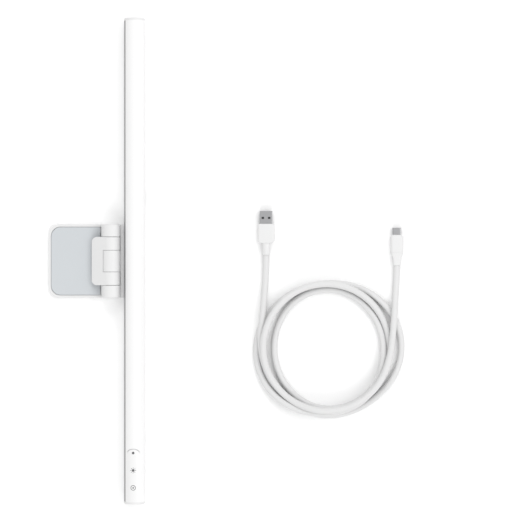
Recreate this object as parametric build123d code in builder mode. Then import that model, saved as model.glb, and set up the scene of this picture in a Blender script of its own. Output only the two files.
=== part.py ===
from build123d import *
from math import cos, pi, radians, sin, tan
import os

# Monitor light bar lying on its back on a table, with its unplugged USB cable coiled beside it.
# The lamp tube lies along Y with its touch keys at the -Y end. +Z is the side that faces the user
# when the bar is mounted, and -X is then down. The clip stands out to -X of the tube.
# Origin: on the table, under the middle of the bar and its clip. Millimetres.

# --- lamp tube ---
bar_length = 450.0
bar_radius = 9.65
wall = 1.2
cap_thickness = 2.2
lamp_angle = 79.0          # middle of the light window, from +Z towards -X
lamp_half_angle = 21.5
fit_gap = 0.1              # between parts that are put together and stay so
tube_half = bar_length / 2 - cap_thickness
bore_radius = bar_radius - wall

# --- touch panel ---
panel_angle = 5.0
panel_width = 11.4
panel_length = 49.0
panel_tip = 4.2            # length of the rounded end
icon_pitch = 16.1
icon_depth = 0.15
last_icon = 13.3           # from the end cap's seam to the nearest icon

# --- clip ---
clip_width = 68.0
barrel_radius = 8.9
plate_reach = 58.3         # from the hinge axis to the rear plate's free edge
plate_thickness = 3.2
plate_corner = 10.2
rim = 2.5
pad_recess = 1.2
pad_thickness = 2.0
pad_groove = 0.35          # between the pad and the wall of its recess
pad_inner_edge = 10.3      # from the hinge axis to the pad's inner edge
hinge_groove = 1.05        # between the pad and the plate's step at the barrel
neck_width = 3.5
neck_height = 7.0
lip_width = 44.7
lip_reach = 18.2
lip_thickness = 2.4
lip_angle = 30.0           # slope of the closed lip
lip_radius = barrel_radius - 0.15
lip_corner = 4.9
centre_knuckle_width = 19.7
side_gap = 0.3             # beside each moving knuckle
turn_gap = 0.3             # around each moving curved face
pin_radius = 1.5
pin_clearance = 0.05
spring_radius = 3.6
spring_wire = 0.9
spring_turns = 6

# --- swivel under the tube ---
swivel_angle = 135.0       # direction of the swivel's stem, from +Z towards -X
swivel_forward = 30.0      # turn of the lamp towards the user
swivel_back = 10.0
stem_width = 3.0
stem_room = 14.0           # degrees of slot beside the stem's middle at each limit
stem_length = 24.0
clamp_half_angle = 15.0
clamp_length = 30.0
clamp_thickness = 1.2
screw_places = (10.0, -10.0)
screw_radius = 1.0
screw_head_radius = 1.6
screw_head_height = 0.9
seat_thickness = 0.8       # saddle left under each screw's head
liner_thickness = 0.35

# --- cable ---
cord_diameter = 6.0
usb_a_x = 157.3
usb_a_tip = 46.6
usb_a_height = 4.0
usb_c_x = 279.0
usb_c_tip = 31.0
usb_c_height = 3.6
coil_centre = (215.7, -82.0)
coil_height = 18.6
coil_outer = (70.8, 64.1)
coil_outer_turn = 11.0
coil_inner = (47.2, 51.8)
coil_inner_turn = 7.0

hinge_x = (plate_reach - barrel_radius - neck_width - 2 * bar_radius) / 2
hinge_z = barrel_radius
bar_x = hinge_x + barrel_radius + neck_width + bar_radius
bar_z = bar_radius
side = clip_width / 2
lip_half = lip_width / 2
centre_half = centre_knuckle_width / 2
saddle_radius = bar_radius + 2 * turn_gap / 3 + liner_thickness
screw_seat = saddle_radius + seat_thickness


def across(angle, y=0.0):
    """Plane across the tube: local X points to the angle from +Z towards -X, the normal is -Y."""
    a = radians(angle)
    return Plane(origin=(bar_x, y, bar_z), x_dir=(-sin(a), 0, cos(a)), z_dir=(0, -1, 0))


def outward(angle, y, distance=0.0):
    """Plane square to a direction from the tube's axis, its normal pointing outwards."""
    base = across(angle, y)
    origin = base.from_local_coords((distance, 0, 0))
    return Plane(origin=origin, x_dir=(0, 1, 0), z_dir=base.x_dir)


def hinge_plane(y=0.0):
    """Plane across the lip's hinge: local X is +X, local Y is +Z, the normal is -Y."""
    return Plane(origin=(hinge_x, y, hinge_z), x_dir=(1, 0, 0), z_dir=(0, -1, 0))


def plug_plane(x, y, z):
    """Plane across a plug, whose normal points from its tip to its cord."""
    return Plane(origin=(x, y, z), x_dir=(1, 0, 0), z_dir=(0, -1, 0))


screw_planes = [outward(swivel_angle, place) for place in screw_places]


def draw_sector(inner, outer, start, end):
    """Piece of a ring about the open sketch's origin."""
    a = radians(start)
    b = radians(end)
    with BuildLine(Plane.XY) as outline:
        CenterArc((0, 0), outer, start, end - start)
        CenterArc((0, 0), inner, start, end - start)
        Line((inner * cos(a), inner * sin(a)), (outer * cos(a), outer * sin(a)))
        Line((inner * cos(b), inner * sin(b)), (outer * cos(b), outer * sin(b)))
    make_face(outline.edges())


def draw_polygon(*points):
    with BuildLine(Plane.XY) as outline:
        Polyline(*points, close=True)
    make_face(outline.edges())


def save(piece, name):
    piece.label = name
    export_step(piece, f"parts/{name}.step")


os.makedirs("parts", exist_ok=True)

# =============================== lamp tube ===============================

window_start = lamp_angle - lamp_half_angle
window_end = lamp_angle + lamp_half_angle
slot_start = swivel_angle - swivel_back - stem_room
slot_end = swivel_angle + swivel_forward + stem_room
slot_half = stem_length / 2 + 1.0

port_y = 60.0
port_angle = 225.0
port_shell = (8.94, 3.26)
port_depth = 6.5
port_mouth = bar_radius - 0.75

panel_plane = Plane(
    origin=(bar_x, -tube_half, bar_z),
    x_dir=(cos(radians(panel_angle)), 0, sin(radians(panel_angle))),
    z_dir=(-sin(radians(panel_angle)), 0, cos(radians(panel_angle))),
)


def draw_panel(gap):
    """The touch panel's outline: square at the end cap, a half oval at its other end."""
    half = panel_width / 2 + gap
    straight = panel_length - panel_tip
    with BuildLine(Plane.XY) as outline:
        Polyline((-half, straight), (-half, -1.0), (half, -1.0), (half, straight))
        EllipticalCenterArc((0, straight), half, panel_tip + gap, start_angle=0, arc_size=180)
    make_face(outline.edges())


with BuildPart() as tube_housing:
    with BuildSketch(across(0)):
        Circle(bar_radius)
        Circle(bore_radius, mode=Mode.SUBTRACT)
    extrude(amount=tube_half, both=True)
    with BuildSketch(across(0)):
        draw_sector(bore_radius - 1, bar_radius + 1, window_start, window_end)
    extrude(amount=tube_half + 1, both=True, mode=Mode.SUBTRACT)
    with BuildSketch(across(0)):
        draw_sector(bore_radius - 1, bar_radius + 1, slot_start, slot_end)
    extrude(amount=slot_half, both=True, mode=Mode.SUBTRACT)
    with BuildSketch(panel_plane):
        draw_panel(fit_gap)
    extrude(amount=bar_radius + 2, mode=Mode.SUBTRACT)
    with BuildSketch(outward(port_angle, port_y)):
        SlotOverall(port_shell[0] + 2 * fit_gap, port_shell[1] + 2 * fit_gap)
    extrude(amount=bar_radius + 2, mode=Mode.SUBTRACT)
save(tube_housing.part, "tube_housing")

flange_thickness = 0.8
flange_overlap = 4.0       # degrees that the diffuser's flange reaches behind the wall
flange_outer = bore_radius - fit_gap / 2
flange_inner = flange_outer - flange_thickness
with BuildPart() as diffuser:
    with BuildSketch(across(0)):
        draw_sector(flange_inner, bar_radius, window_start + 0.5, window_end - 0.5)
        draw_sector(
            flange_inner, flange_outer, window_start - flange_overlap, window_end + flange_overlap
        )
    extrude(amount=tube_half - fit_gap, both=True)
save(diffuser.part, "diffuser")

touch_board_top = bore_radius - 1.55
touch_board_thickness = 0.8

# The light engine stands square to the window: board, reflector and spine, on a plane whose
# local X points to the window and local Y across it. It clears the touch board above it.
board_top = 2.0
board_thickness = 1.0
spine_front = board_top - board_thickness
spine_back = -2.0
spine_width = 2 * (touch_board_top - touch_board_thickness - 0.5)
spine_half = tube_half - fit_gap
board_width = spine_width - 3.2
reflector_wall = 0.4
reflector_root = board_width / 2 - 0.6
reflector_mouth = reflector_root - 0.4
reflector_top = flange_inner - 1.1

with BuildPart() as led_board:
    with BuildSketch(across(lamp_angle)):
        with Locations((board_top - board_thickness / 2, 0)):
            Rectangle(board_thickness, board_width)
    extrude(amount=tube_half - 4.0, both=True)
save(led_board.part, "led_board")

led_count = 54
led_pitch = 8.1
led_size = (0.7, 2.8, 3.5)
with BuildPart() as led_packages:
    with BuildSketch(outward(lamp_angle, 0, board_top)):
        with GridLocations(led_pitch, 1, led_count, 1):
            Rectangle(led_size[2], led_size[1])
    extrude(amount=led_size[0])
save(led_packages.part, "led_packages")

with BuildPart() as reflector:
    with BuildSketch(across(lamp_angle)):
        for hand in (1, -1):
            draw_polygon(
                (board_top, hand * reflector_root),
                (board_top, hand * (reflector_root + reflector_wall)),
                (reflector_top, hand * (reflector_mouth + reflector_wall)),
                (reflector_top, hand * reflector_mouth),
            )
    extrude(amount=tube_half - 6.0, both=True)
    # Cross ribs tie the two walls together between the light packages.
    rib_step = 6 * led_pitch
    for step in range(-4, 5):
        with BuildSketch(across(lamp_angle, step * rib_step + 0.25)):
            draw_polygon(
                (board_top, -reflector_root),
                (board_top, reflector_root),
                (board_top + 1.2, reflector_root),
                (board_top + 1.2, -reflector_root),
            )
        extrude(amount=0.5)
save(reflector.part, "reflector")

cap_screw_radius = 1.0
cap_screw_spread = spine_width / 2 - 1.8
cap_screw_length = 7.0
notch_half = 6.5
port_turn = radians(port_angle - lamp_angle)
notch_floor = (port_mouth - port_depth) * cos(port_turn) + port_shell[1] / 2 * sin(port_turn) + 0.37
with BuildPart() as carrier_spine:
    with BuildSketch(across(lamp_angle)):
        with Locations(((spine_front + spine_back) / 2, 0)):
            Rectangle(spine_front - spine_back, spine_width)
    extrude(amount=spine_half, both=True)
    # Pilot holes in both ends for the end caps' screws.
    for end in (1, -1):
        with BuildSketch(across(lamp_angle, end * spine_half)):
            for hand in (1, -1):
                with Locations((-0.5, hand * cap_screw_spread)):
                    Circle(cap_screw_radius)
        extrude(amount=end * (cap_screw_length + 1.0), mode=Mode.SUBTRACT)
    # Notch in the back for the USB socket.
    with BuildSketch(across(lamp_angle, port_y + notch_half)):
        draw_polygon(
            (spine_back - 1, -1.4),
            (spine_back - 1, spine_width),
            (notch_floor, spine_width),
            (notch_floor, -1.4),
        )
    extrude(amount=2 * notch_half, mode=Mode.SUBTRACT)
save(carrier_spine.part, "carrier_spine")

driver_start = -145.0
driver_length = 72.0
driver_width = 8.0
driver_back = spine_back - 1.0
wire_radius = 0.6
wire_depth = driver_back - wire_radius
clip_places = (-165.0, -50.0, 90.0, 190.0)
clip_depth = 4.0
with BuildPart() as spine_clips:
    for place in clip_places:
        with BuildSketch(across(lamp_angle, place + clip_depth / 2)):
            with BuildLine():
                reach = bore_radius - fit_gap
                chord = (reach**2 - spine_back**2) ** 0.5
                Line((spine_back, chord), (spine_back, -chord))
                ThreePointArc((spine_back, chord), (-reach, 0), (spine_back, -chord))
            make_face()
            with Locations((wire_depth, 0)):
                Rectangle(2.6, 4.0, mode=Mode.SUBTRACT)
        extrude(amount=clip_depth)
save(spine_clips.part, "spine_clips")

with BuildPart() as driver_board:
    with BuildSketch(across(lamp_angle, driver_start + driver_length)):
        with Locations(((spine_back + driver_back) / 2, 0)):
            Rectangle(1.0, driver_width)
    extrude(amount=driver_length)
save(driver_board.part, "driver_board")

# Parts on the driver board: (distance along it, length, width, height).
driver_parts = (
    (6.0, 6.0, 6.0, 2.6),
    (17.0, 5.0, 4.0, 1.2),
    (26.0, 7.0, 5.0, 1.0),
    (38.0, 6.0, 6.0, 2.8),
    (49.0, 4.0, 3.0, 1.4),
    (58.0, 5.0, 5.0, 2.0),
    (67.0, 4.0, 5.0, 2.4),
)
with BuildPart() as driver_components:
    for place, length, width, height in driver_parts:
        with BuildSketch(across(lamp_angle, driver_start + place + length / 2)):
            with Locations((driver_back - height / 2, 0)):
                Rectangle(height, width)
        extrude(amount=length)
save(driver_components.part, "driver_components")

# =============================== touch keys ===============================

icon_y = tuple(last_icon + step * icon_pitch for step in range(3))


def draw_icons(grow):
    """A ring, a sun and a dot along the panel, each mark widened by the same small amount."""
    with Locations((0, icon_y[0])):
        Circle(2.4 + grow)
        Circle(1.9 - grow, mode=Mode.SUBTRACT)
    with Locations((0, icon_y[0])):
        Circle(0.7 + grow)
    with Locations((0, icon_y[1])):
        Circle(1.25 + grow)
    with Locations((0, icon_y[1])):
        with PolarLocations(2.2, 8):
            Rectangle(0.9 + 2 * grow, 0.45 + 2 * grow)
    with Locations((0, icon_y[2])):
        Circle(1.2 + grow)


with BuildPart() as touch_panel:
    with BuildSketch(across(0)):
        draw_sector(bore_radius, bar_radius, -60, 60)
    extrude(amount=tube_half, both=True)
    with BuildSketch(panel_plane):
        draw_panel(0)
    extrude(amount=bar_radius + 2, mode=Mode.INTERSECT)
    with BuildSketch(panel_plane):
        draw_icons(0.02)
    extrude(amount=bar_radius + 2, mode=Mode.SUBTRACT)
    with BuildSketch(across(0)):
        draw_sector(bore_radius, bar_radius - icon_depth, -60, 60)
    extrude(amount=tube_half, both=True)
    with BuildSketch(panel_plane):
        draw_panel(0)
    extrude(amount=bar_radius + 2, mode=Mode.INTERSECT)
save(touch_panel.part, "touch_panel")

with BuildPart() as touch_icons:
    with BuildSketch(across(0)):
        draw_sector(bar_radius - icon_depth, bar_radius, -60, 60)
    extrude(amount=tube_half, both=True)
    with BuildSketch(panel_plane):
        draw_icons(0)
    extrude(amount=bar_radius + 2, mode=Mode.INTERSECT)
save(touch_icons.part, "touch_icons")

touch_board_width = 2 * ((bore_radius - 2 * fit_gap) ** 2 - touch_board_top**2) ** 0.5
with BuildPart() as touch_board:
    with BuildSketch(panel_plane.offset(touch_board_top - touch_board_thickness)):
        with Locations((0, panel_length / 2 + 1)):
            Rectangle(touch_board_width, panel_length - 10)
    extrude(amount=touch_board_thickness)
save(touch_board.part, "touch_board")

pad_spot_radius = 2.0
with BuildPart() as touch_springs:
    with BuildSketch(panel_plane.offset(touch_board_top)):
        for place in icon_y:
            with Locations((0, place)):
                Circle(pad_spot_radius)
                Circle(pad_spot_radius - 0.6, mode=Mode.SUBTRACT)
    extrude(amount=(bore_radius**2 - pad_spot_radius**2) ** 0.5 - touch_board_top - fit_gap)
save(touch_springs.part, "touch_springs")

# =============================== USB socket in the tube ===============================

socket_wall = 0.3
socket_base = 0.8

with BuildPart() as usb_socket:
    with BuildSketch(outward(port_angle, port_y, port_mouth - port_depth)):
        SlotOverall(port_shell[0], port_shell[1])
    extrude(amount=port_depth)
    with BuildSketch(outward(port_angle, port_y, port_mouth - port_depth + socket_base)):
        SlotOverall(port_shell[0] - 2 * socket_wall, port_shell[1] - 2 * socket_wall)
    extrude(amount=port_depth, mode=Mode.SUBTRACT)
save(usb_socket.part, "usb_socket")

with BuildPart() as usb_socket_tongue:
    with BuildSketch(outward(port_angle, port_y, port_mouth - port_depth + socket_base)):
        Rectangle(6.7, 0.7)
    extrude(amount=port_depth - socket_base - 0.6)
save(usb_socket_tongue.part, "usb_socket_tongue")

# The socket's board lies against the side of the socket that faces away from the spine.
socket_board = across(port_angle, port_y + 9.0)
with BuildPart() as usb_board:
    with BuildSketch(socket_board):
        draw_polygon(
            (2.2, port_shell[1] / 2),
            (7.6, port_shell[1] / 2),
            (7.6, port_shell[1] / 2 + 1.0),
            (2.2, port_shell[1] / 2 + 1.0),
        )
    extrude(amount=18.0)
save(usb_board.part, "usb_board")

wire_end = driver_start + driver_length - 1.5
with BuildPart() as inner_wires:
    for spot in (-0.9, 0.9):
        with BuildSketch(across(lamp_angle, port_y - 9.0)):
            with Locations((wire_depth, spot)):
                Circle(wire_radius)
        extrude(amount=port_y - 9.0 - wire_end)
save(inner_wires.part, "inner_wires")

# =============================== end caps ===============================

spigot_depth = 5.0
spigot_wall = 0.9
cap_edge = 0.7


def end_cap(end):
    """Disc with a rounded rim, a split spigot inside the tube and two screw holes."""
    with BuildPart() as cap:
        with BuildSketch(across(0, end * tube_half)):
            Circle(bar_radius)
        extrude(amount=-end * cap_thickness)
        rim_edge = cap.edges().filter_by(GeomType.CIRCLE).sort_by(Axis.Y)[-1 if end > 0 else 0]
        fillet(rim_edge, cap_edge)
        with BuildSketch(across(0, end * tube_half)):
            spigot = bore_radius - fit_gap
            draw_sector(spigot - spigot_wall, spigot, window_end + 8, 340)
        extrude(amount=end * spigot_depth)
        with BuildSketch(across(lamp_angle, end * (tube_half - 1))):
            for hand in (1, -1):
                with Locations((-0.5, hand * cap_screw_spread)):
                    Circle(cap_screw_radius + fit_gap)
        extrude(amount=-end * (cap_thickness + 2), mode=Mode.SUBTRACT)
        with BuildSketch(across(lamp_angle, end * (tube_half + 1.0))):
            for hand in (1, -1):
                with Locations((-0.5, hand * cap_screw_spread)):
                    Circle(1.9)
        extrude(amount=-end * cap_thickness, mode=Mode.SUBTRACT)
    return cap.part


save(end_cap(1), "end_cap_far")
save(end_cap(-1), "end_cap_control")

with BuildPart() as end_cap_screws:
    for end in (1, -1):
        for hand in (1, -1):
            with BuildSketch(across(lamp_angle, end * (tube_half + 1.0))):
                with Locations((-0.5, hand * cap_screw_spread)):
                    Circle(cap_screw_radius)
            extrude(amount=end * cap_screw_length)
            with BuildSketch(across(lamp_angle, end * (tube_half + 1.0))):
                with Locations((-0.5, hand * cap_screw_spread)):
                    Circle(1.8)
            extrude(amount=-end * 0.9)
            with BuildSketch(across(lamp_angle, end * (tube_half + 1.9))):
                with Locations((-0.5, hand * cap_screw_spread)):
                    Rectangle(0.4, 2.2)
                    Rectangle(2.2, 0.4)
            extrude(amount=end * 0.5, mode=Mode.SUBTRACT)
save(end_cap_screws.part, "end_cap_screws")

# =============================== clip ===============================

plate_top = plate_thickness - hinge_z     # local height in the hinge's plane
floor = -hinge_z
bar_local = (bar_x - hinge_x, bar_z - hinge_z)
# The saddle ends just past the heads of its screws.
saddle_end = bar_local[0] - screw_seat * sin(radians(swivel_angle)) + screw_head_radius + 0.13

pad_start = hinge_x - plate_reach + rim
pad_end = hinge_x - pad_inner_edge
pad_length = pad_end - pad_start
pad_width = clip_width - 2 * rim
pad_middle = (pad_start + pad_end) / 2
recess_floor = plate_thickness - pad_recess


def draw_pad(gap, end):
    """The pad's outline: rounded at the plate's free edge, square at its end near the hinge."""
    with BuildLine(Plane.XY) as outline:
        half = pad_width / 2 + gap
        corner = plate_corner - rim + 1.0
        FilletPolyline(
            (end, -half),
            (pad_start - gap, -half),
            (pad_start - gap, half),
            (end, half),
            radius=corner,
        )
        Line((end, half), (end, -half))
    make_face(outline.edges())


bearing_half = pin_radius + pin_clearance
cavity_radius = lip_radius + turn_gap + 0.05

with BuildPart() as clip_frame:
    # Barrel over the clip's whole width.
    with BuildSketch(hinge_plane()):
        Circle(barrel_radius)
    extrude(amount=side, both=True)
    chamfer(clip_frame.edges().filter_by(GeomType.CIRCLE), 0.6)
    # Rear plate with two rounded corners.
    with BuildSketch(Plane.XY):
        with BuildLine():
            FilletPolyline(
                (hinge_x - 4.6, -side),
                (hinge_x - plate_reach, -side),
                (hinge_x - plate_reach, side),
                (hinge_x - 4.6, side),
                radius=plate_corner,
            )
            Line((hinge_x - 4.6, side), (hinge_x - 4.6, -side))
        make_face()
    extrude(amount=plate_thickness)
    plate_rim = clip_frame.faces().sort_by(Axis.Z)[-1].edges()
    plate_rim = plate_rim.filter_by(lambda edge: edge.center().X < hinge_x - 6)
    chamfer(plate_rim, 0.6)
    # Neck towards the tube, with the saddle cut from it.
    with BuildSketch(hinge_plane()):
        draw_polygon(
            (6.6, floor),
            (saddle_end, floor),
            (saddle_end, floor + neck_height),
            (6.6, floor + neck_height),
        )
    extrude(amount=side, both=True)
    with BuildSketch(hinge_plane()):
        with Locations(bar_local):
            Circle(saddle_radius)
    extrude(amount=side + 1, both=True, mode=Mode.SUBTRACT)
    # Room for the lip's two arms beside the centre knuckle.
    for hand in (1, -1):
        with BuildSketch(hinge_plane(hand * centre_half)):
            Circle(cavity_radius)
        extrude(amount=-hand * (lip_half + side_gap - centre_half), mode=Mode.SUBTRACT)
    # Pin bore and the counterbores of its caps.
    with BuildSketch(hinge_plane()):
        Circle(bearing_half)
    extrude(amount=side + 1, both=True, mode=Mode.SUBTRACT)
    for hand in (1, -1):
        with BuildSketch(hinge_plane(hand * (side - 1.2))):
            Circle(3.0)
        extrude(amount=-hand * 3.0, mode=Mode.SUBTRACT)
    # Recess for the pad, and the stiffener's pocket under it.
    with BuildSketch(Plane.XY.offset(recess_floor)):
        draw_pad(pad_groove, pad_end + hinge_groove)
    extrude(amount=pad_recess + 1, mode=Mode.SUBTRACT)
    with BuildSketch(Plane.XY.offset(recess_floor - 0.8)):
        with Locations((pad_middle, 0)):
            Rectangle(pad_length - 10, pad_width - 12)
    extrude(amount=1.0, mode=Mode.SUBTRACT)
    # Slanted screw holes from below, through the saddle towards the tube's axis.
    for drill in screw_planes:
        with BuildSketch(drill.offset(bar_radius)):
            Circle(screw_radius + fit_gap)
        extrude(amount=8.0, mode=Mode.SUBTRACT)
        with BuildSketch(drill.offset(screw_seat)):
            Circle(screw_head_radius + fit_gap)
        extrude(amount=8.0, mode=Mode.SUBTRACT)
save(clip_frame.part, "clip_frame")

with BuildPart() as back_pad:
    with BuildSketch(Plane.XY.offset(recess_floor)):
        draw_pad(0, pad_end)
    extrude(amount=pad_thickness)
    pad_rim = back_pad.faces().sort_by(Axis.Z)[-1].edges()
    fillet(pad_rim.filter_by(lambda edge: edge.center().X < pad_end - 1), 0.4)
    with BuildSketch(hinge_plane()):
        Circle(cavity_radius)
    extrude(amount=side, both=True, mode=Mode.SUBTRACT)
save(back_pad.part, "back_pad")

with BuildPart() as back_stiffener:
    with BuildSketch(Plane.XY.offset(recess_floor - 0.8)):
        with Locations((pad_middle, 0)):
            Rectangle(pad_length - 10.2, pad_width - 12.2)
    extrude(amount=0.8)
save(back_stiffener.part, "back_stiffener")

# The lip is drawn along its slope: local X runs down the blade from the barrel's tangent point.
slope = radians(lip_angle)
tangent = (-lip_radius * sin(slope), lip_radius * cos(slope))


def down_blade(distance, depth=0.0):
    """Point at a distance down the blade and a depth below its outer face."""
    return (
        tangent[0] - distance * cos(slope) + depth * sin(slope),
        tangent[1] - distance * sin(slope) - depth * cos(slope),
    )


blade_length = (lip_reach + tangent[0]) / cos(slope)
spring_pitch = spring_wire + 0.25
spring_length = spring_turns * spring_pitch
spring_start = centre_half + side_gap + spring_wire
spring_pocket = spring_radius + spring_wire
pocket_end = spring_start + spring_length + spring_wire
pad_far = blade_length - 0.5
pad_near = pad_far - 3.2

with BuildPart() as front_lip:
    with BuildSketch(hinge_plane()):
        Circle(lip_radius)
    extrude(amount=lip_half, both=True)
    chamfer(front_lip.edges().filter_by(GeomType.CIRCLE), 0.35)
    with BuildSketch(hinge_plane()):
        draw_polygon(
            down_blade(0),
            down_blade(blade_length),
            down_blade(blade_length, lip_thickness),
            down_blade(0, lip_thickness),
        )
    extrude(amount=lip_half, both=True)
    tip_edges = front_lip.edges().filter_by(Axis.Y).group_by(Axis.X)[0]
    fillet(tip_edges, 0.9)
    # Rounded corners, seen from above.
    with BuildSketch(Plane.XY):
        with BuildLine():
            FilletPolyline(
                (hinge_x + barrel_radius, -lip_half),
                (hinge_x - lip_reach + 0.35, -lip_half),
                (hinge_x - lip_reach + 0.35, lip_half),
                (hinge_x + barrel_radius, lip_half),
                radius=lip_corner,
            )
            Line((hinge_x + barrel_radius, lip_half), (hinge_x + barrel_radius, -lip_half))
        make_face()
    extrude(amount=3 * barrel_radius, mode=Mode.INTERSECT)
    # Window for the centre knuckle.
    with BuildSketch(hinge_plane()):
        Circle(barrel_radius + turn_gap + 0.05)
    extrude(amount=centre_half + side_gap, both=True, mode=Mode.SUBTRACT)
    # Pin bore, and a pocket for a spring in each arm.
    with BuildSketch(hinge_plane()):
        Circle(bearing_half)
    extrude(amount=lip_half + 1, both=True, mode=Mode.SUBTRACT)
    with BuildSketch(hinge_plane()):
        Circle(spring_pocket)
    extrude(amount=pocket_end, both=True, mode=Mode.SUBTRACT)
save(front_lip.part, "front_lip")

with BuildPart() as lip_pad:
    with BuildSketch(hinge_plane()):
        draw_polygon(
            down_blade(pad_near, lip_thickness),
            down_blade(pad_far, lip_thickness),
            down_blade(pad_far, lip_thickness + 1.0),
            down_blade(pad_near, lip_thickness + 1.0),
        )
    extrude(amount=lip_half - 3.0, both=True)
    ends = lip_pad.edges().filter_by(Axis.Y).sort_by(Axis.Z)[0:1]
    fillet(ends, 0.4)
save(lip_pad.part, "lip_pad")

with BuildPart() as hinge_pin:
    with BuildSketch(hinge_plane()):
        Circle(pin_radius)
    extrude(amount=side - 1.2, both=True)
    chamfer(hinge_pin.edges().filter_by(GeomType.CIRCLE), 0.3)
save(hinge_pin.part, "hinge_pin")

with BuildPart() as pin_caps:
    for hand in (1, -1):
        with BuildSketch(hinge_plane(hand * (side - 1.2))):
            Circle(3.0 - fit_gap / 2)
        extrude(amount=-hand * 1.2)
save(pin_caps.part, "pin_caps")

with BuildPart() as torsion_springs:
    for hand in (1, -1):
        start = (hinge_x, hand * spring_start, hinge_z)
        with BuildLine() as coil_line:
            Helix(spring_pitch, spring_length, spring_radius, center=start, direction=(0, hand, 0))
        coil_wire = coil_line.wire()
        with BuildSketch(Plane(origin=coil_wire @ 0, z_dir=coil_wire % 0)):
            Circle(spring_wire / 2)
        sweep(path=coil_wire, is_frenet=True)
save(torsion_springs.part, "torsion_springs")

# =============================== swivel ===============================

clamp_outer = bore_radius - 2 * turn_gap / 3
clamp_inner = clamp_outer - clamp_thickness
with BuildPart() as swivel_stem:
    with BuildSketch(across(swivel_angle)):
        with Locations(((clamp_outer + saddle_radius) / 2, 0)):
            Rectangle(saddle_radius - clamp_outer, stem_width)
        Circle(saddle_radius, mode=Mode.INTERSECT)
    extrude(amount=stem_length / 2, both=True)
    for drill in screw_planes:
        with BuildSketch(drill):
            Circle(screw_radius)
        extrude(amount=2 * bar_radius, mode=Mode.SUBTRACT)
save(swivel_stem.part, "swivel_stem")

with BuildPart() as swivel_clamp:
    with BuildSketch(across(swivel_angle)):
        draw_sector(clamp_inner, clamp_outer, -clamp_half_angle, clamp_half_angle)
        # A flat seat meets the stem.
        with Locations((clamp_outer - 0.6, 0)):
            Rectangle(1.2, stem_width)
    extrude(amount=clamp_length / 2, both=True)
    for drill in screw_planes:
        with BuildSketch(drill):
            Circle(screw_radius)
        extrude(amount=2 * bar_radius, mode=Mode.SUBTRACT)
save(swivel_clamp.part, "swivel_clamp")

liner_inner = saddle_radius - liner_thickness
with BuildPart() as friction_liner:
    for first, last in ((stem_length / 2 + 1.0, side - 2.0), (-side + 2.0, -stem_length / 2 - 1.0)):
        with BuildSketch(across(0, last)):
            draw_sector(liner_inner, saddle_radius, 112, 140)
        extrude(amount=last - first)
save(friction_liner.part, "friction_liner")

with BuildPart() as saddle_screws:
    for drill in screw_planes:
        with BuildSketch(drill.offset(clamp_inner)):
            Circle(screw_radius)
        extrude(amount=screw_seat - clamp_inner)
        with BuildSketch(drill.offset(screw_seat)):
            Circle(screw_head_radius)
        extrude(amount=screw_head_height)
save(saddle_screws.part, "saddle_screws")

# =============================== USB-A plug ===============================

shell_a = (12.0, 4.5)
shell_a_length = 12.0
sheet_a = 0.3
body_a = (16.0, 8.0)
body_a_length = 18.0
boot_a_length = 11.0
boot_a_radius = 3.8
body_a_front = usb_a_tip - shell_a_length
body_a_back = body_a_front - body_a_length
boot_a_end = body_a_back - boot_a_length

with BuildPart() as usb_a_shell:
    with BuildSketch(plug_plane(usb_a_x, usb_a_tip, usb_a_height)):
        RectangleRounded(shell_a[0], shell_a[1], 0.6)
        RectangleRounded(shell_a[0] - 2 * sheet_a, shell_a[1] - 2 * sheet_a, 0.3, mode=Mode.SUBTRACT)
    extrude(amount=shell_a_length)
    # Latch windows in both broad sides, and the fold's seam along the top.
    with BuildSketch(Plane.XY):
        with Locations((usb_a_x - 2.95, usb_a_tip - 6.5), (usb_a_x + 2.95, usb_a_tip - 6.5)):
            Rectangle(2.3, 2.0)
    extrude(amount=2 * usb_a_height, mode=Mode.SUBTRACT)
    with BuildSketch(Plane.XY.offset(usb_a_height + shell_a[1] / 2 - 0.15)):
        with Locations((usb_a_x, usb_a_tip - shell_a_length / 2)):
            Rectangle(0.3, shell_a_length + 1)
    extrude(amount=1.0, mode=Mode.SUBTRACT)
save(usb_a_shell.part, "usb_a_shell")

tongue_a = (11.2, 1.84)
tongue_a_base = shell_a[1] / 2 - sheet_a - fit_gap - tongue_a[1]
with BuildPart() as usb_a_tongue:
    with BuildSketch(plug_plane(usb_a_x, usb_a_tip - 0.6, usb_a_height)):
        with Locations((0, tongue_a_base + tongue_a[1] / 2)):
            Rectangle(tongue_a[0], tongue_a[1])
    extrude(amount=shell_a_length - 0.6)
save(usb_a_tongue.part, "usb_a_tongue")

with BuildPart() as usb_a_contacts:
    with BuildSketch(Plane.XY.offset(usb_a_height + tongue_a_base)):
        with Locations((usb_a_x, usb_a_tip - 6.0)):
            with GridLocations(2.2, 1, 4, 1):
                Rectangle(1.0, 8.0)
    extrude(amount=-0.12)
save(usb_a_contacts.part, "usb_a_contacts")

with BuildPart() as usb_a_body:
    with BuildSketch(plug_plane(usb_a_x, body_a_front, usb_a_height)):
        RectangleRounded(body_a[0], body_a[1], 2.2)
    extrude(amount=body_a_length)
    fillet(usb_a_body.faces().sort_by(Axis.Y)[0].edges(), 1.6)
    fillet(usb_a_body.faces().sort_by(Axis.Y)[-1].edges(), 0.5)
save(usb_a_body.part, "usb_a_body")

with BuildPart() as usb_a_boot:
    with BuildSketch(plug_plane(usb_a_x, body_a_back, usb_a_height)):
        Circle(boot_a_radius)
    extrude(amount=boot_a_length)
    fillet(usb_a_boot.edges().filter_by(GeomType.CIRCLE).sort_by(Axis.Y)[0], 0.5)
save(usb_a_boot.part, "usb_a_boot")

# =============================== USB-C plug ===============================

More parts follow.
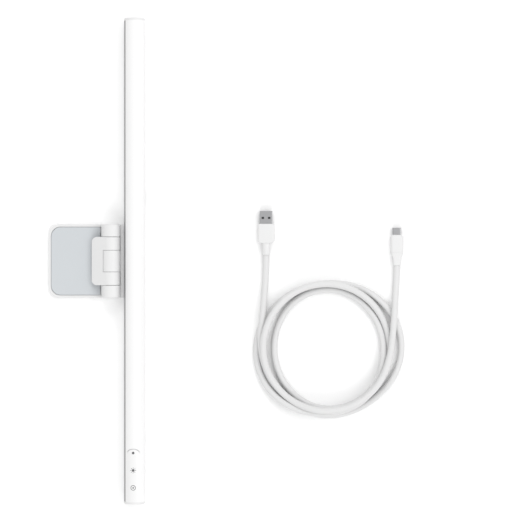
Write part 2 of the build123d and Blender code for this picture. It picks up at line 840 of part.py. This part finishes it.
shell_c = (8.34, 2.56)
shell_c_length = 6.65
sheet_c = 0.25
body_c = (12.2, 7.0)
body_c_length = 16.5
collar_c_length = 3.0
taper_c_length = 9.0
boot_c_radius = 3.6
body_c_front = usb_c_tip - shell_c_length
body_c_back = body_c_front - body_c_length
boot_c_end = body_c_back - collar_c_length - taper_c_length

with BuildPart() as usb_c_shell:
    with BuildSketch(plug_plane(usb_c_x, usb_c_tip, usb_c_height)):
        SlotOverall(shell_c[0], shell_c[1])
        SlotOverall(shell_c[0] - 2 * sheet_c, shell_c[1] - 2 * sheet_c, mode=Mode.SUBTRACT)
    extrude(amount=shell_c_length)
save(usb_c_shell.part, "usb_c_shell")

with BuildPart() as usb_c_insert:
    with BuildSketch(plug_plane(usb_c_x, usb_c_tip - 0.3, usb_c_height)):
        SlotOverall(shell_c[0] - 2 * sheet_c, shell_c[1] - 2 * sheet_c)
        Rectangle(6.9, 0.9, mode=Mode.SUBTRACT)
    extrude(amount=shell_c_length - 0.3 - 0.8)
    with BuildSketch(plug_plane(usb_c_x, usb_c_tip - shell_c_length + 0.8, usb_c_height)):
        SlotOverall(shell_c[0] - 2 * sheet_c, shell_c[1] - 2 * sheet_c)
    extrude(amount=0.8)
save(usb_c_insert.part, "usb_c_insert")

with BuildPart() as usb_c_body:
    with BuildSketch(plug_plane(usb_c_x, body_c_front, usb_c_height)):
        RectangleRounded(body_c[0], body_c[1], 2.6)
    extrude(amount=body_c_length)
    fillet(usb_c_body.faces().sort_by(Axis.Y)[-1].edges(), 0.6)
save(usb_c_body.part, "usb_c_body")

with BuildPart() as usb_c_boot:
    with BuildSketch(plug_plane(usb_c_x, body_c_back, usb_c_height)):
        RectangleRounded(body_c[0] - 0.4, body_c[1] - 0.4, 2.5)
    extrude(amount=collar_c_length)
    with BuildSketch(plug_plane(usb_c_x, body_c_back - collar_c_length, usb_c_height)):
        RectangleRounded(body_c[0] - 0.4, body_c[1] - 0.4, 2.5)
    with BuildSketch(plug_plane(usb_c_x, boot_c_end, usb_c_height)):
        RectangleRounded(2 * boot_c_radius, body_c[1] - 0.4, 2.5)
    loft()
save(usb_c_boot.part, "usb_c_boot")

# =============================== cord ===============================

cord_radius = cord_diameter / 2
lead_a = (
    (usb_a_x, boot_a_end, usb_a_height),
    (usb_a_x - 0.2, boot_a_end - 16.0, cord_radius + 0.3),
    (usb_a_x - 1.2, boot_a_end - 33.0, cord_radius + 0.9),
    (usb_a_x - 2.6, boot_a_end - 50.0, cord_radius + 6.0),
    (usb_a_x - 4.0, boot_a_end - 65.0, cord_radius + 6.9),
)
lead_c = (
    (usb_c_x, boot_c_end, usb_c_height),
    (usb_c_x - 0.5, boot_c_end - 15.0, cord_radius + 0.2),
    (usb_c_x - 1.6, boot_c_end - 30.0, cord_radius + 1.0),
    (usb_c_x - 2.5, boot_c_end - 43.0, cord_radius + 6.0),
    (usb_c_x - 3.2, boot_c_end - 55.0, cord_radius + 6.6),
)


def corner_radii(points):
    """Largest arc at each inner point: 0.45 of its shorter run, by the half turn's tangent."""
    steps = [Vector(*b) - Vector(*a) for a, b in zip(points, points[1:])]
    radii = []
    for before, after in zip(steps, steps[1:]):
        half_turn = radians(before.get_angle(after)) / 2
        radii.append(0.45 * min(before.length, after.length) / tan(half_turn))
    return radii


def cord_tube(points, name):
    radii = corner_radii(points)
    with BuildPart() as tube:
        with BuildLine() as path:
            FilletPolyline(*points, radius=radii)
        with BuildSketch(Plane(origin=path.line @ 0, z_dir=path.line % 0)):
            Circle(cord_radius)
        sweep(path=path.wire())
    length = path.wire().length
    expected = pi * cord_radius**2 * length
    print(name, "length", round(length, 1), "radii", [round(r) for r in radii])
    print(name, "volume over section times length", round(tube.part.volume / expected, 4))
    return tube.part


save(cord_tube(lead_a, "cord_lead_a"), "cord_lead_a")
save(cord_tube(lead_c, "cord_lead_c"), "cord_lead_c")

with BuildPart() as cord_coil:
    with BuildSketch(Plane.XY):
        with Locations(Location((coil_centre[0], coil_centre[1], 0), coil_outer_turn)):
            Ellipse(*coil_outer)
        with Locations(Location((coil_centre[0], coil_centre[1], 0), coil_inner_turn)):
            Ellipse(*coil_inner, mode=Mode.SUBTRACT)
    extrude(amount=coil_height)
    fillet(cord_coil.edges().filter_by(lambda edge: edge.center().Z > 1), 2.0)
save(cord_coil.part, "cord_coil")
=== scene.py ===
from math import cos, pi, radians, sin

import bmesh
import bpy
from mathutils import Matrix, Vector


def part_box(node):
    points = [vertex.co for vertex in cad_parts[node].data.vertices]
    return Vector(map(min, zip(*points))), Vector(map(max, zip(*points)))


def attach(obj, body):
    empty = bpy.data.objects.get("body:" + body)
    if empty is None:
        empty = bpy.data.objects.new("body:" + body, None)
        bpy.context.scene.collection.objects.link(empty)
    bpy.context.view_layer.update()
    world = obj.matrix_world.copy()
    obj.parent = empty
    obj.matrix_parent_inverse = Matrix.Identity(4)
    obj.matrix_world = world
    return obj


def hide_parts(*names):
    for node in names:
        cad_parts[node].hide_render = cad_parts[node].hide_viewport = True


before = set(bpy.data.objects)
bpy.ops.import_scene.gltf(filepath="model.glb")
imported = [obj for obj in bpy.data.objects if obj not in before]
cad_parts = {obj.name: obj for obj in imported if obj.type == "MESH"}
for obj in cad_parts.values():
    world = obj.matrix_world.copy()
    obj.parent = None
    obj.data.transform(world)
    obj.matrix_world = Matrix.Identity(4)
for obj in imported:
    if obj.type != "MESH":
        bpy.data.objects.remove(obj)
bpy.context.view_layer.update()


# ---------------------------------------------------------------- camera, table and lights
# The set is laid out flat on a white table and seen from straight above, between the lamp and
# its cable. Three large soft lamps and a bright room light it almost without shadows.
mm = 0.001
camera = bpy.data.objects.new("camera", bpy.data.cameras.new("camera"))
camera.data.sensor_width = 36.0
camera.data.lens = 158.4
camera.data.dof.use_dof = False
camera.data.clip_end = 20.0
camera.location = (0.1480, 0.0047, 2.1)
bpy.context.scene.collection.objects.link(camera)
bpy.context.scene.camera = camera

set_middle = Vector((0.12, 0, 0))
table_gap = 0.2 * mm
table_form = bmesh.new()
bmesh.ops.create_grid(table_form, x_segments=1, y_segments=1, size=6.0)
table_mesh = bpy.data.meshes.new("table")
table_form.to_mesh(table_mesh)
table_form.free()
table = bpy.data.objects.new("table", table_mesh)
table.location = set_middle - Vector((0, 0, table_gap))
bpy.context.scene.collection.objects.link(table)

laminate = bpy.data.materials.new("white_laminate")
laminate.use_nodes = True
laminate_shader = laminate.node_tree.nodes["Principled BSDF"]
laminate_shader.inputs["Base Color"].default_value = (0.93, 0.93, 0.93, 1)
laminate_shader.inputs["Roughness"].default_value = 0.7
table_mesh.materials.append(laminate)

room = bpy.data.worlds.new("bright_room")
room.use_nodes = True
room.node_tree.nodes["Background"].inputs["Color"].default_value = (1.0, 1.0, 1.0, 1)
room.node_tree.nodes["Background"].inputs["Strength"].default_value = 0.80
bpy.context.scene.world = room
bpy.context.scene.view_settings.view_transform = "Standard"


def soft_lamp(name, place, size, power):
    """A square softbox that looks from its place to the middle of the set."""
    light = bpy.data.lights.new(name, "AREA")
    light.shape = "SQUARE"
    light.size = size
    light.energy = power
    lamp = bpy.data.objects.new(name, light)
    lamp.location = place
    lamp.rotation_euler = (set_middle - Vector(place)).to_track_quat("-Z", "Y").to_euler()
    bpy.context.scene.collection.objects.link(lamp)


soft_lamp("right_softbox", (1.7, 0.15, 2.0), 1.3, 12.5)
soft_lamp("near_softbox", (0.12, -2.3, 1.9), 1.4, 24.0)
soft_lamp("far_softbox", (0.12, 2.3, 1.9), 1.4, 24.0)


# ---------------------------------------------------------------- USB cable: cord
# A soft white jacketed cord, 6 mm thick and about 1.5 m long, runs from the USB-A boot to the
# USB-C boot, in a loose coil of three and a half turns on the table. The points of its leads and
# its turns are in millimetres, and directions about the coil's middle are in degrees.
cord_width = 6.0 * mm
lead_a = (
    (157.3, 5.6, 4.0),
    (157.1, -10.4, 3.3),
    (156.1, -27.4, 3.9),
    (154.7, -44.4, 9.0),
    (153.3, -59.4, 9.9),
)
lead_c = (
    (279.0, -4.15, 3.6),
    (278.5, -19.15, 3.2),
    (277.4, -34.15, 4.0),
    (276.5, -47.15, 9.0),
    (275.8, -59.15, 9.6),
)
coil_middle = Vector((215.7, -82.0, 0))
coil_start = 168
coil_end = 1449
points_a_turn = 24

# A tight first turn, a wide second one, an inner third and a last one over the others, a circle
# a little off the coil's middle. Each gives way to the next between two directions, and both
# leads swing out of the coil.
first_turn = 61.4
to_wide = (262, 350)
to_inner = (580, 712)
to_last = (950, 1085)
swing_a = 5.0
swing_a_in = (150, 195)
swing_c = 5.5
swing_c_out = (1425, 1475)

# The cord comes down from the first lead and ends on top of the coil. Each crossing on the way
# has its rise, the stretch where the cord climbs and the one where it comes down.
lying = 3.02
lift = 6.15
first_drop = 6.5
first_drop_over = (165, 205)
last_climb = (1082, 1155)
crossings = (
    (lift, (555, 600), (695, 740)),
    (5.6, (1200, 1236), (1252, 1288)),
    (6.1, (1305, 1345), (1415, 1450)),
)


def ease(stretch, at):
    """0 before a stretch and 1 after it, with a smooth slope between."""
    start, end = stretch
    share = min(1.0, max(0.0, (at - start) / (end - start)))
    return share * share * (3 - 2 * share)


def oval(middle_radius, longer, lean, at):
    """Radius of a slightly oval turn, which is longer along its lean."""
    return middle_radius + longer * cos(2 * radians(at - lean))


route = [Vector(point) for point in lead_a]
for step in range(int((coil_end - coil_start) * points_a_turn / 360) + 1):
    angle = coil_start + step * 360 / points_a_turn
    wide_turn = oval(64.4, 3.5, 11, angle)
    inner_turn = oval(53.0, -2.4, 7, angle)
    last_turn = 58.6 + 3.2 * cos(radians(angle - 140))
    radius = first_turn + (wide_turn - first_turn) * ease(to_wide, angle)
    radius += (inner_turn - wide_turn) * ease(to_inner, angle)
    radius += (last_turn - inner_turn) * ease(to_last, angle)
    radius += swing_a * (1 - ease(swing_a_in, angle)) + swing_c * ease(swing_c_out, angle)
    height = lying + first_drop * (1 - ease(first_drop_over, angle)) + lift * ease(last_climb, angle)
    height += sum(rise * (ease(up, angle) - ease(down, angle)) for rise, up, down in crossings)
    # The line runs inside its points, so they stand a little further out.
    radius /= cos(pi / points_a_turn)
    spot = Vector((radius * cos(radians(angle)), radius * sin(radians(angle)), height))
    route.append(coil_middle + spot)
route += [Vector(point) for point in reversed(lead_c)]


def add_sockets(group, way, kind, *names):
    """Gives a node group sockets of one kind, in or out."""
    for name in names:
        group.interface.new_socket(name, in_out=way, socket_type="NodeSocket" + kind)


# The fine texture of a mould or of powder paint.
grain_group = bpy.data.node_groups.new("fine_grain", "ShaderNodeTree")
add_sockets(grain_group, "INPUT", "Float", "Size", "Detail")
add_sockets(grain_group, "OUTPUT", "Float", "Height")
grain_in = grain_group.nodes.new("NodeGroupInput")
grain_out = grain_group.nodes.new("NodeGroupOutput")
grain_coords = grain_group.nodes.new("ShaderNodeTexCoord")
grain_noise = grain_group.nodes.new("ShaderNodeTexNoise")
grain_cells = grain_group.nodes.new("ShaderNodeTexVoronoi")
grain_mix = grain_group.nodes.new("ShaderNodeMath")
grain_mix.operation = "MULTIPLY_ADD"
grain_mix.inputs[1].default_value = 0.5
grain_group.links.new(grain_coords.outputs["Object"], grain_noise.inputs["Vector"])
grain_group.links.new(grain_coords.outputs["Object"], grain_cells.inputs["Vector"])
grain_group.links.new(grain_in.outputs["Size"], grain_noise.inputs["Scale"])
grain_group.links.new(grain_in.outputs["Size"], grain_cells.inputs["Scale"])
grain_group.links.new(grain_in.outputs["Detail"], grain_noise.inputs["Detail"])
grain_group.links.new(grain_cells.outputs["Distance"], grain_mix.inputs[0])
grain_group.links.new(grain_noise.outputs["Fac"], grain_mix.inputs[2])
grain_group.links.new(grain_mix.outputs["Value"], grain_out.inputs["Height"])

# The slow drift of tone and gloss that an even surface has.
drift_group = bpy.data.node_groups.new("tone_drift", "ShaderNodeTree")
add_sockets(drift_group, "INPUT", "Color", "Light tone", "Dark tone")
add_sockets(drift_group, "INPUT", "Float", "Rough low", "Rough high")
add_sockets(drift_group, "OUTPUT", "Color", "Color")
add_sockets(drift_group, "OUTPUT", "Float", "Roughness")
drift_in = drift_group.nodes.new("NodeGroupInput")
drift_out = drift_group.nodes.new("NodeGroupOutput")
drift_coords = drift_group.nodes.new("ShaderNodeTexCoord")
drift_noise = drift_group.nodes.new("ShaderNodeTexNoise")
drift_noise.inputs["Scale"].default_value = 28.0
drift_noise.inputs["Detail"].default_value = 6.0
drift_tone = drift_group.nodes.new("ShaderNodeMix")
drift_tone.data_type = "RGBA"
drift_gloss = drift_group.nodes.new("ShaderNodeMapRange")
drift_group.links.new(drift_coords.outputs["Object"], drift_noise.inputs["Vector"])
drift_group.links.new(drift_noise.outputs["Fac"], drift_tone.inputs["Factor"])
drift_group.links.new(drift_in.outputs["Light tone"], drift_tone.inputs["A"])
drift_group.links.new(drift_in.outputs["Dark tone"], drift_tone.inputs["B"])
drift_group.links.new(drift_noise.outputs["Fac"], drift_gloss.inputs["Value"])
drift_group.links.new(drift_in.outputs["Rough low"], drift_gloss.inputs["To Min"])
drift_group.links.new(drift_in.outputs["Rough high"], drift_gloss.inputs["To Max"])
drift_group.links.new(drift_tone.outputs["Result"], drift_out.inputs["Color"])
drift_group.links.new(drift_gloss.outputs["Result"], drift_out.inputs["Roughness"])


def surface(name, tone, rough, grain_size=2600.0, grain_depth=0.02, drift=0.03, metallic=0.0):
    """A material from a tone, a roughness, its grain (size, depth in mm) and its drift of tone."""
    made = bpy.data.materials.new(name)
    made.use_nodes = True
    nodes = made.node_tree.nodes
    links = made.node_tree.links
    shader = nodes["Principled BSDF"]
    shader.inputs["Metallic"].default_value = metallic
    drifting = nodes.new("ShaderNodeGroup")
    drifting.node_tree = drift_group
    drifting.inputs["Light tone"].default_value = (*tone, 1)
    drifting.inputs["Dark tone"].default_value = (*[part * (1 - drift) for part in tone], 1)
    drifting.inputs["Rough low"].default_value = rough * 0.9
    drifting.inputs["Rough high"].default_value = rough * 1.1
    grain = nodes.new("ShaderNodeGroup")
    grain.node_tree = grain_group
    grain.inputs["Size"].default_value = grain_size
    grain.inputs["Detail"].default_value = 3.0
    bump = nodes.new("ShaderNodeBump")
    bump.inputs["Strength"].default_value = 0.6
    bump.inputs["Distance"].default_value = grain_depth * mm
    links.new(grain.outputs["Height"], bump.inputs["Height"])
    links.new(bump.outputs["Normal"], shader.inputs["Normal"])
    links.new(drifting.outputs["Color"], shader.inputs["Base Color"])
    links.new(drifting.outputs["Roughness"], shader.inputs["Roughness"])
    return made


cord_line = bpy.data.curves.new("usb_cord", "CURVE")
cord_line.dimensions = "3D"
cord_spline = cord_line.splines.new("NURBS")
cord_spline.points.add(len(route) - 1)
for spline_point, place in zip(cord_spline.points, route):
    spline_point.co = (*(place * mm), 1)
cord_spline.order_u = 3
cord_spline.use_endpoint_u = True
cord_spline.resolution_u = 5
cord_line.bevel_depth = cord_width / 2
cord_line.bevel_resolution = 7
cord_line.use_fill_caps = True
cord = bpy.data.objects.new("usb_cord", cord_line)
bpy.context.scene.collection.objects.link(cord)
# The jacket goes on before the cord rides: put on later, it would spoil the cord's measured box.
cord_line.materials.append(surface("cord_jacket", (0.66, 0.66, 0.66), 0.55, 1800.0, 0.03, 0.03))
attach(cord, "clip")
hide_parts("cord_lead_a", "cord_lead_c", "cord_coil")


# ---------------------------------------------------------------- USB-A plug
# The moulded grip is a soft block with a sloped shoulder and a short round boot behind it. The
# shell is folded nickel-plated sheet with latch windows, round a black tongue with gold contacts.
plug_plastic = surface("plug_grip", (0.70, 0.70, 0.70), 0.5, 2400.0, 0.025, 0.02)


def show(form, name, material, body, node):
    """Turns a finished bmesh into a smooth piece on its body, in place of a CAD node."""
    mesh = bpy.data.meshes.new(name)
    form.to_mesh(mesh)
    form.free()
    mesh.polygons.foreach_set("use_smooth", [True] * len(mesh.polygons))
    mesh.set_sharp_from_angle(angle=radians(32))
    mesh.materials.append(material)
    piece = bpy.data.objects.new(name, mesh)
    bpy.context.scene.collection.objects.link(piece)
    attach(piece, body)
    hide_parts(node)
    return piece


def coat(material, *nodes):
    """Gives CAD nodes one material."""
    for node in nodes:
        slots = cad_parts[node].data.materials
        slots.clear()
        slots.append(material)


def rounded_bar(middle, sections, corner):
    """A bar along -Y through rounded sections, each given by its place and its half sizes."""
    form = bmesh.new()
    start, half_width, half_height = sections[0]
    upright = Matrix.Translation((middle.x, start, middle.z)) @ Matrix.Rotation(pi / 2, 4, "X")
    upright = upright @ Matrix.Diagonal((half_width, half_height, 1, 1))
    bmesh.ops.create_grid(form, x_segments=1, y_segments=1, size=1.0, matrix=upright)
    bmesh.ops.bevel(
        form, geom=list(form.verts), offset=corner, segments=7, profile=0.5,
        affect="VERTICES", material=-1,
    )
    end_face = list(form.faces)
    face = end_face
    for place, next_width, next_height in sections[1:]:
        made = bmesh.ops.extrude_face_region(form, geom=face)
        # The first face stays as the bar's end; each later one would be a wall inside the bar.
        if face is not end_face:
            bmesh.ops.delete(form, geom=face, context="FACES_ONLY")
        face = [item for item in made["geom"] if isinstance(item, bmesh.types.BMFace)]
        for point in face[0].verts:
            point.co.x = middle.x + (point.co.x - middle.x) * next_width / half_width
            point.co.y = place
            point.co.z = middle.z + (point.co.z - middle.z) * next_height / half_height
        half_width = next_width
        half_height = next_height
    bmesh.ops.recalc_face_normals(form, faces=list(form.faces))
    return form


def moulding(node, name, corner, front, back):
    """A rounded bar in a CAD node's box. Its front and back list sections: millimetres from
    that end, and shares of the box's width and height."""
    low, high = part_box(node)
    half = (high - low) / 2
    sections = [(high.y - depth * mm, half.x * wide, half.z * tall) for depth, wide, tall in front]
    sections += [(low.y + depth * mm, half.x * wide, half.z * tall) for depth, wide, tall in back]
    form = rounded_bar((low + high) / 2, sections, corner)
    return show(form, name, plug_plastic, "clip", node)


def turned(middle, profile):
    """A solid of revolution about a line along Y; the profile lists places along Y and radii."""
    form = bmesh.new()
    line = [form.verts.new((middle.x + radius, y, middle.z)) for y, radius in profile]
    edges = [form.edges.new(pair) for pair in zip(line, line[1:])]
    bmesh.ops.spin(
        form, geom=line + edges, cent=(middle.x, 0, middle.z), axis=(0, 1, 0),
        dvec=(0, 0, 0), angle=2 * pi, steps=48, use_merge=True, use_duplicate=False,
    )
    bmesh.ops.remove_doubles(form, verts=list(form.verts), dist=0.004 * mm)
    bmesh.ops.recalc_face_normals(form, faces=list(form.faces))
    return form


usb_a_grip = moulding(
    "usb_a_body", "usb_a_grip", 2.1 * mm,
    front=((0, 0.93, 0.88), (0.12, 0.965, 0.945), (0.4, 0.99, 0.985), (0.8, 1, 1)),
    back=(
        (2.0, 1, 1),
        (1.45, 0.985, 0.975),
        (1.0, 0.93, 0.93),
        (0.55, 0.80, 0.89),
        (0.1, 0.60, 0.87),
        (0, 0.5, 0.86),
    ),
)

boot_low, boot_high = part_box("usb_a_boot")
boot_radius = (boot_high.x - boot_low.x) / 2
cord_hole = cord_width / 2 + 0.05 * mm
boot_form = turned((boot_low + boot_high) / 2, (
    (boot_high.y, 0.0),
    (boot_high.y, boot_radius * 1.02),
    (boot_high.y - 0.5 * mm, boot_radius * 0.985),
    (boot_high.y - 1.2 * mm, boot_radius * 0.965),
    (boot_low.y + 1.3 * mm, boot_radius * 0.955),
    (boot_low.y + 0.9 * mm, boot_radius),
    (boot_low.y + 0.35 * mm, boot_radius),
    (boot_low.y + 0.08 * mm, boot_radius * 0.95),
    (boot_low.y, boot_radius * 0.87),
    (boot_low.y, cord_hole),
    (boot_low.y + 0.6 * mm, cord_hole),
    (boot_low.y + 0.6 * mm, 0.0),
))
usb_a_boot = show(boot_form, "usb_a_strain_boot", plug_plastic, "clip", "usb_a_boot")

nickel = surface("nickel_plate", (0.47, 0.47, 0.48), 0.34, 3000.0, 0.02, 0.06, metallic=1.0)
coat(nickel, "usb_a_shell")
black_insulator = surface("black_insulator", (0.02, 0.02, 0.02), 0.45)
coat(black_insulator, "usb_a_tongue")
gold = surface("gold_flash", (0.83, 0.62, 0.26), 0.28, 3000.0, 0.01, 0.05, metallic=1.0)
coat(gold, "usb_a_contacts")


# ---------------------------------------------------------------- USB-C plug
# A slim grip with a chamfered front and a fine parting line, and behind the line a soft collar
# that narrows to the cord. A black insulator fills the small oval shell.
usb_c_grip = moulding(
    "usb_c_body", "usb_c_grip", 2.0 * mm,
    front=((0, 0.80, 0.66), (0.15, 0.84, 0.74), (1.3, 0.965, 0.95), (1.9, 0.995, 0.99), (2.6, 1, 1)),
    back=((0.3, 1, 1), (0.08, 0.99, 0.985), (0, 0.975, 0.96)),
)
usb_c_collar = moulding(
    "usb_c_boot", "usb_c_collar", 2.4 * mm,
    front=(
        (0, 0.985, 0.97),
        (0.12, 1, 1),
        (1.2, 0.995, 1),
        (2.2, 0.94, 1),
        (3.6, 0.82, 1),
        (4.8, 0.72, 1),
        (6.0, 0.66, 1),
        (7.5, 0.63, 1),
    ),
    back=((0.7, 0.615, 1), (0.25, 0.605, 0.98), (0, 0.57, 0.92)),
)
coat(nickel, "usb_c_shell")
coat(black_insulator, "usb_c_insert")


# ---------------------------------------------------------------- light engine
# An extruded aluminium spine slides into the tube, centred by black plastic clips. It carries the
# white light board under its reflector, the driver board with its parts, and two wires.
coat(
    surface("mill_finish", (0.62, 0.63, 0.64), 0.34, 1500.0, 0.04, 0.08, metallic=1.0),
    "carrier_spine",
)
coat(surface("black_moulding", (0.035, 0.035, 0.037), 0.5), "spine_clips")
coat(surface("white_solder_mask", (0.80, 0.80, 0.80), 0.3), "led_board")
coat(surface("light_phosphor", (0.85, 0.72, 0.25), 0.35, 4000.0, 0.02, 0.1), "led_packages")
coat(surface("reflector_sheet", (0.88, 0.88, 0.87), 0.25), "reflector")
green_board = surface("green_solder_mask", (0.02, 0.16, 0.07), 0.3, 900.0, 0.03, 0.2)
coat(green_board, "driver_board")
coat(surface("chip_moulding", (0.02, 0.02, 0.022), 0.55), "driver_components")
coat(surface("wire_cover", (0.5, 0.03, 0.02), 0.45), "inner_wires")


# ---------------------------------------------------------------- lamp tube
# An aluminium extrusion with a matt white powder coat, open for the light window at its side,
# the swivel's stem and the USB socket at its back, and the touch panel at its front. Angles are
# in degrees from its top towards the clip.
cap_low, cap_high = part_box("end_cap_far")
tube_low, tube_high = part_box("tube_housing")
tube_middle = Vector(((cap_low.x + cap_high.x) / 2, 0, (cap_low.z + cap_high.z) / 2))
tube_radius = (cap_high.z - cap_low.z) / 2
tube_wall = 1.2 * mm
window_from = 57.5
window_to = 100.5
swivel_from = 111
swivel_to = 179
swivel_half = 13.0 * mm


def direction(angle):
    """The way out from the tube's axis at an angle from the top towards the clip."""
    return Vector((-sin(radians(angle)), 0, cos(radians(angle))))


def push_out(form, faces, reach):
    """Extrudes open faces by a reach into a closed block, and returns the points it moved."""
    made = bmesh.ops.extrude_face_region(form, geom=faces, use_keep_orig=True)
    moved = [item for item in made["geom"] if isinstance(item, bmesh.types.BMVert)]
    bmesh.ops.translate(form, verts=moved, vec=reach)
    return moved


def ring_bar(inner, outer, start, end, y_from, y_to, steps):
    """A bar whose section is part of a ring about the tube's axis, from one angle to another."""
    form = bmesh.new()
    wall = [
        form.verts.new(tube_middle + direction(end) * radius + Vector((0, y_from, 0)))
        for radius in (inner, outer)
    ]
    bmesh.ops.spin(
        form, geom=[*wall, form.edges.new(wall)], cent=tube_middle, axis=(0, 1, 0), dvec=(0, 0, 0),
        angle=radians(end - start), steps=steps, use_merge=False, use_duplicate=False,
    )
    push_out(form, list(form.faces), (0, y_to - y_from, 0))
    bmesh.ops.recalc_face_normals(form, faces=list(form.faces))
    return form


def opening_block(outline, angle, y_from, flare=0.0):
    """A block that cuts an opening out through the wall. It starts at the tube's axis with a flat
    outline (across, along) and grows on its way out by the flare."""
    form = bmesh.new()
    toward = direction(angle)
    across = Vector((toward.z, 0, -toward.x))
    corners = [
        form.verts.new(tube_middle + across * side + Vector((0, y_from + along, 0)))
        for side, along in outline
    ]
    moved = push_out(form, [form.faces.new(corners)], toward * (tube_radius + tube_wall))
    half = max(side for side, along in outline)
    tip = max(along for side, along in outline)
    for point in moved:
        side = (point.co - tube_middle).dot(across)
        point.co += across * flare * side / half
        point.co.y += flare * (point.co.y - y_from) / tip
    bmesh.ops.triangulate(form, faces=list(form.faces))
    bmesh.ops.recalc_face_normals(form, faces=list(form.faces))
    return form


def cut(form, tools):
    """Cuts the shape of each tool out of the form."""
    whole = bpy.data.objects.new("whole", bpy.data.meshes.new("whole"))
    form.to_mesh(whole.data)
    bpy.context.scene.collection.objects.link(whole)
    blades = []
    for tool in tools:
        blade = bpy.data.objects.new("blade", bpy.data.meshes.new("blade"))
        tool.to_mesh(blade.data)
        tool.free()
        bpy.context.scene.collection.objects.link(blade)
        boolean = whole.modifiers.new("cut", "BOOLEAN")
        boolean.operation = "DIFFERENCE"
        boolean.solver = "EXACT"
        boolean.object = blade
        blades.append(blade)
    settled = whole.evaluated_get(bpy.context.evaluated_depsgraph_get())
    form.clear()
    form.from_mesh(settled.to_mesh())
    settled.to_mesh_clear()
    for scrap in [*blades, whole]:
        bpy.data.objects.remove(scrap)
    return form


def round_end(half_width, rise, straight, steps):
    """Points (across, along) of a half oval at the end of a straight stretch."""
    turns = [pi * step / steps for step in range(steps + 1)]
    return [(half_width * cos(turn), straight + rise * sin(turn)) for turn in turns]


# The panel's opening is open at the tube's end and has a broken edge, so it widens outwards.
panel_angle = 5
panel_half = 4.4 * mm
panel_straight = 44.8 * mm
panel_round = 2.9 * mm
panel_overrun = 1.0 * mm
edge_flare = 1.8 * mm
panel_outline = [(-panel_half, -panel_overrun), (panel_half, -panel_overrun)]
panel_outline += round_end(panel_half, panel_round, panel_straight, steps=24)

# The socket's opening is a slot with round ends.
port_angle = 225
port_place = 60 * mm
port_straight = 2.84 * mm
port_round = 1.73 * mm
port_outline = round_end(port_round, port_round, port_straight, steps=12)
port_outline += [(-across, -along) for across, along in port_outline]

tube_form = ring_bar(
    tube_radius - tube_wall, tube_radius, window_to - 360, window_from,
    tube_low.y, tube_high.y, steps=108,
)
swivel_slot = ring_bar(
    tube_radius - 2 * tube_wall, tube_radius + tube_wall, swivel_from, swivel_to,
    -swivel_half, swivel_half, steps=24,
)
panel_opening = opening_block(panel_outline, panel_angle, tube_low.y, edge_flare)
port_opening = opening_block(port_outline, port_angle, port_place)
tube_form = cut(tube_form, [swivel_slot, panel_opening, port_opening])
powder_coat = surface("powder_coat", (0.80, 0.80, 0.80), 0.42, 1400.0, 0.035, 0.012)
show(tube_form, "tube_shell", powder_coat, "light_bar", "tube_housing")


# ---------------------------------------------------------------- light window
# Frosted acrylic that snaps into the tube's open side and is flush with it, held by thin flanges
# behind the tube's edges, which reach a few degrees past them. Unlit it is a little grey, but its
# dark grey tone here is mostly painted shade, of a pale window that faces sideways into shade.
window_low, window_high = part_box("diffuser")
flange = 0.8 * mm
flange_outer = tube_radius - tube_wall - 0.05 * mm
flange_reach = 4
flange_past = 2
edge_gap = 0.5
window_form = ring_bar(
    flange_outer - flange, tube_radius, window_from - flange_reach, window_to + flange_reach,
    window_low.y, window_high.y, steps=51,
)
beside_window = (
    (window_from - flange_reach - flange_past, window_from + edge_gap),
    (window_to - edge_gap, window_to + flange_reach + flange_past),
)
window_form = cut(window_form, [
    ring_bar(flange_outer, tube_radius + tube_wall, start, end, -cap_high.y, cap_high.y, steps=6)
    for start, end in beside_window
])
# Painted shade: the window's dark grey base colour stands in for the shade on its sideways face.
frosted_painted_shade = surface("frosted_acrylic_painted_shade", (0.22, 0.22, 0.225), 0.36, 2200.0, 0.02, 0.02)
show(window_form, "light_window", frosted_painted_shade, "light_bar", "diffuser")


# ---------------------------------------------------------------- end caps
# White mouldings with a rounded rim close both ends of the tube. Two zinc-plated screws hold
# each of them to the end of the spine.
white_moulding = surface("white_moulding", (0.70, 0.70, 0.70), 0.5, 2600.0, 0.02, 0.012)
coat(white_moulding, "end_cap_far", "end_cap_control")
zinc = surface("zinc_plate", (0.48, 0.48, 0.50), 0.3, 2600.0, 0.02, 0.08, metallic=1.0)
coat(zinc, "end_cap_screws")


# ---------------------------------------------------------------- touch keys
# A smooth white panel, flush in the tube, with three printed marks. Springs press on its back
# and lead each touch to a small board.
coat(surface("touch_cover", (0.77, 0.77, 0.77), 0.3, 2600.0, 0.008, 0.012), "touch_panel")
coat(surface("grey_print", (0.10, 0.10, 0.105), 0.5), "touch_icons")
coat(zinc, "touch_springs")
coat(green_board, "touch_board")


# ---------------------------------------------------------------- USB socket
# A plated shell with a black tongue, soldered to its own board behind the opening in the tube.
# It takes the small plug of the cable.
coat(nickel, "usb_socket")
coat(black_insulator, "usb_socket_tongue")
coat(green_board, "usb_board")


# ---------------------------------------------------------------- clip and swivel
# One white moulding holds the rear plate, the hinge barrel and the saddle, with a steel stiffener
# behind the grey silicone pad. The swivel's stem passes into the tube to a clamp, screwed to the
# saddle, and black felt strips give it friction.
coat(white_moulding, "clip_frame")
coat(zinc, "back_stiffener", "swivel_stem", "swivel_clamp", "saddle_screws")
coat(surface("friction_felt", (0.03, 0.03, 0.03), 0.8), "friction_liner")
silicone = surface("grey_silicone", (0.53, 0.555, 0.575), 0.6, 1600.0, 0.03, 0.03)
coat(silicone, "back_pad")


# ---------------------------------------------------------------- front lip
# The sprung lip is moulded like the clip and lined with the same silicone. It turns on a steel
# pin through the barrel, with a torsion spring in each arm and a cap over each end.
coat(white_moulding, "front_lip", "pin_caps")
coat(zinc, "hinge_pin", "torsion_springs")
coat(silicone, "lip_pad")
